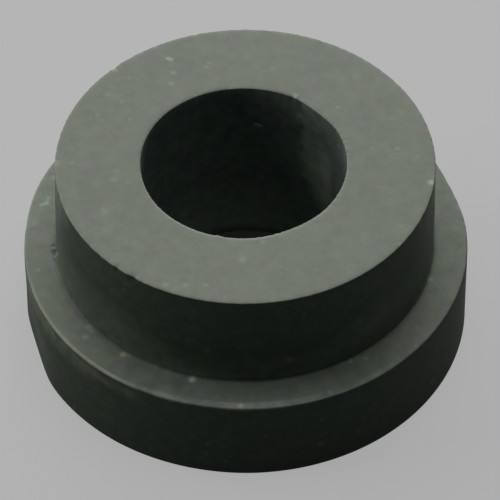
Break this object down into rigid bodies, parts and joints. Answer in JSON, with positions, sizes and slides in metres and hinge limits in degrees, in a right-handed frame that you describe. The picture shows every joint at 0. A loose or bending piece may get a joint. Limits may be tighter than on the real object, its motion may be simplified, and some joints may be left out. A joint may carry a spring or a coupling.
{
  "type": "rubber mounting bushing",
  "caption": "Flanged rubber bushing moulded in one piece: a round collar with a narrower round neck on top and one straight hole through both.",
  "frame": {"origin": "centre of the flange's base, on the bore's axis", "axes": "+Z along the bore's axis, from the flange towards the neck; the part is round, so X and Y are any two directions across it"},
  "size_m": [0.0264, 0.0264, 0.0124],
  "materials": {
    "rubber": "matt black moulded rubber with a faint grey-green bloom, light scuffs and specks of dust"
  },
  "bodies": {
    "root": {"bushing": "rubber"}
  },
  "joints": []
}
